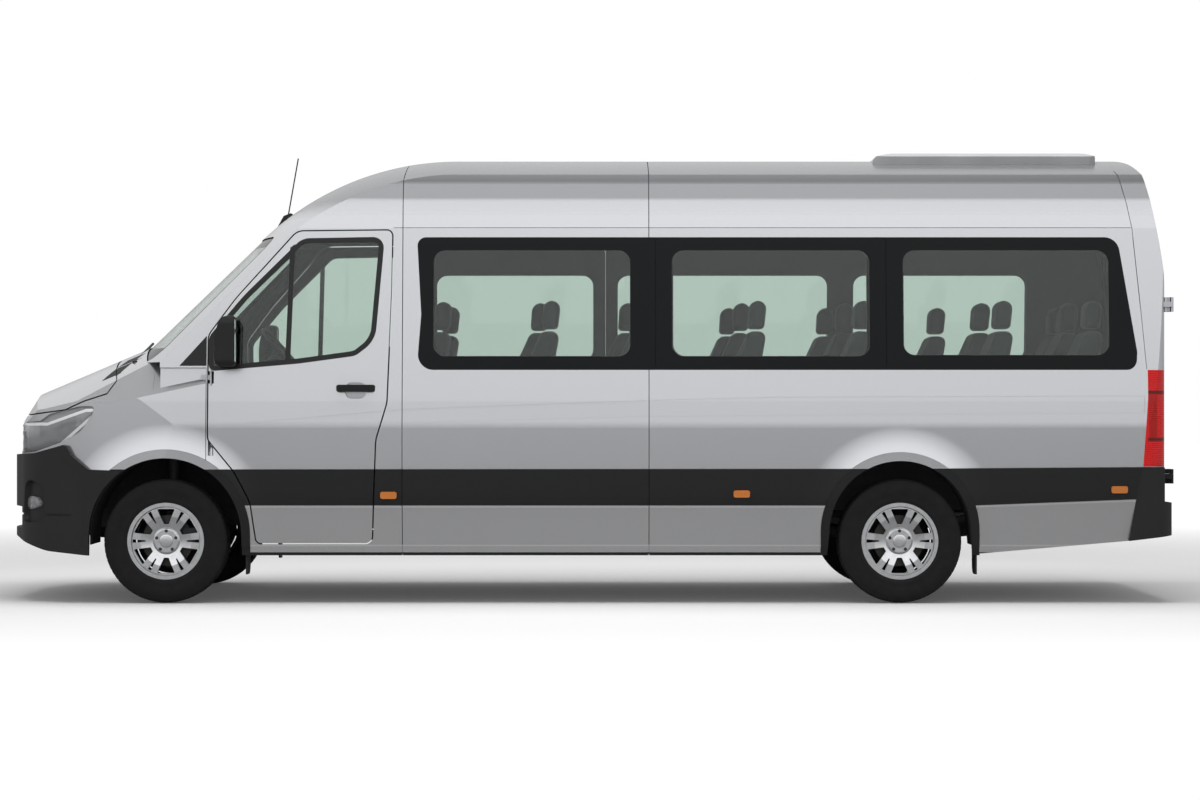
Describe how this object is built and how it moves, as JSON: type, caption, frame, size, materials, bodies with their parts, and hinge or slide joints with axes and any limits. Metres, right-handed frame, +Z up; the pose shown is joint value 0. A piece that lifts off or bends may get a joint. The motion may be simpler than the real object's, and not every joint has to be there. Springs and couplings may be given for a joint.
{
  "type": "minibus",
  "caption": "Long high-roof passenger minibus with glazed sides, opening cab and rear doors, bonnet, steered front wheels and a row-seated cabin.",
  "frame": {"origin": "centre of the bounding box at ground level, under the middle of the vehicle", "axes": "+Z up, -X forwards to the nose, -Y to the vehicle's left side"},
  "size_m": [6.967, 2.344, 2.722],
  "materials": {
    "body_paint": "light silver metallic",
    "dark_plastic": "dark charcoal, fine grain",
    "glass": "pale green tint",
    "lamp_clear": "clear lens",
    "lamp_red": "red lens",
    "lamp_orange": "orange lens",
    "unit_shell": "silver grey moulding",
    "rubber": "matt black",
    "antenna_black": "black",
    "floor_steel": "black underseal",
    "iron": "dark cast",
    "alloy": "plain",
    "tank_plastic": "black moulded",
    "seat_cloth": "dark grey woven cloth",
    "seat_steel": "black powder coat",
    "tyre": "black",
    "rim_alloy": "bright silver lacquer"
  },
  "bodies": {
    "body": {"antenna": "antenna_black", "chassis_rails": "floor_steel", "cowl_panel": "dark_plastic", "dashboard": "dark_plastic", "driveline": "iron", "engine_block": "iron", "exhaust": "alloy", "floor_pan": "floor_steel", "front_bumper": "dark_plastic", "front_lamps": "lamp_clear", "front_panel": "body_paint", "front_suspension": "iron", "fuel_tank": "tank_plastic", "grille": "dark_plastic", "headrests": "seat_cloth", "leaf_springs": "iron", "left_side_wall": "body_paint", "mud_flaps": "rubber", "radiator": "alloy", "rear_axle": "iron", "rear_bumper": "dark_plastic", "right_side_wall": "body_paint", "roof_panel": "body_paint", "roof_unit": "unit_shell", "seat_backs": "seat_cloth", "seat_cushions": "seat_cloth", "seat_frames": "seat_steel", "side_glass": "glass", "side_markers": "lamp_orange", "sliding_door": "body_paint", "steering_column": "dark_plastic", "tail_lamps": "lamp_red", "windscreen": "glass", "wings": "body_paint", "wipers": "dark_plastic"},
    "left_cab_door_body": {"left_cab_door": "body_paint", "left_cab_door_glass": "glass", "left_mirror": "dark_plastic"},
    "left_rear_door_body": {"left_rear_door": "body_paint", "left_rear_door_glass": "glass"},
    "left_hub_carrier": {"left_knuckle": "iron"},
    "front_left_road_wheel": {"front_left_tyre": "tyre", "front_left_wheel": "rim_alloy"},
    "rear_left_road_wheel": {"rear_left_tyre": "tyre", "rear_left_wheel": "rim_alloy"},
    "right_cab_door_body": {"right_cab_door": "body_paint", "right_cab_door_glass": "glass", "right_mirror": "dark_plastic"},
    "right_rear_door_body": {"right_rear_door": "body_paint", "right_rear_door_glass": "glass"},
    "right_hub_carrier": {"right_knuckle": "iron"},
    "front_right_road_wheel": {"front_right_tyre": "tyre", "front_right_wheel": "rim_alloy"},
    "rear_right_road_wheel": {"rear_right_tyre": "tyre", "rear_right_wheel": "rim_alloy"},
    "bonnet_body": {"bonnet": "body_paint"},
    "steering_wheel_body": {"steering_wheel": "dark_plastic"}
  },
  "joints": [
    {"name": "left_cab_door_hinge", "type": "hinge", "parent": "body", "child": "left_cab_door_body", "pos_m": [-2.2135, -0.996, 1.195], "axis": [0, 0, -1], "range_deg": [0, 67]},
    {"name": "left_rear_door_hinge", "type": "hinge", "parent": "body", "child": "left_rear_door_body", "pos_m": [3.462, -0.868, 1.5], "axis": [0, 0, -1], "range_deg": [0, 180]},
    {"name": "left_steer", "type": "hinge", "parent": "body", "child": "left_hub_carrier", "pos_m": [-2.4835, -0.79, 0.3655], "axis": [0, 0, 1], "range_deg": [-35, 35]},
    {"name": "front_left_spin", "type": "hinge", "parent": "left_hub_carrier", "child": "front_left_road_wheel", "pos_m": [-2.4835, -0.872, 0.3655], "axis": [0, 1, 0], "continuous": true},
    {"name": "rear_left_spin", "type": "hinge", "parent": "body", "child": "rear_left_road_wheel", "pos_m": [1.8415, -0.872, 0.3655], "axis": [0, 1, 0], "continuous": true},
    {"name": "right_cab_door_hinge", "type": "hinge", "parent": "body", "child": "right_cab_door_body", "pos_m": [-2.2135, 0.996, 1.195], "axis": [0, 0, 1], "range_deg": [0, 67]},
    {"name": "right_rear_door_hinge", "type": "hinge", "parent": "body", "child": "right_rear_door_body", "pos_m": [3.462, 0.868, 1.5], "axis": [0, 0, 1], "range_deg": [0, 180]},
    {"name": "right_steer", "type": "hinge", "parent": "body", "child": "right_hub_carrier", "pos_m": [-2.4835, 0.79, 0.3655], "axis": [0, 0, 1], "range_deg": [-35, 35]},
    {"name": "front_right_spin", "type": "hinge", "parent": "right_hub_carrier", "child": "front_right_road_wheel", "pos_m": [-2.4835, 0.872, 0.3655], "axis": [0, 1, 0], "continuous": true},
    {"name": "rear_right_spin", "type": "hinge", "parent": "body", "child": "rear_right_road_wheel", "pos_m": [1.8415, 0.872, 0.3655], "axis": [0, 1, 0], "continuous": true},
    {"name": "bonnet_hinge", "type": "hinge", "parent": "body", "child": "bonnet_body", "pos_m": [-2.7, 0, 1.4], "axis": [0, 1, 0], "range_deg": [0, 55]},
    {"name": "steering_wheel_turn", "type": "hinge", "parent": "body", "child": "steering_wheel_body", "pos_m": [-1.8415, -0.47, 1.48], "axis": [0.7547, 0, 0.6561], "range_deg": [-540, 540]}
  ],
  "couplings": [
    {"joint": "right_steer", "follows": "left_steer", "ratio": 1},
    {"joint": "steering_wheel_turn", "follows": "left_steer", "ratio": 15.4}
  ]
}
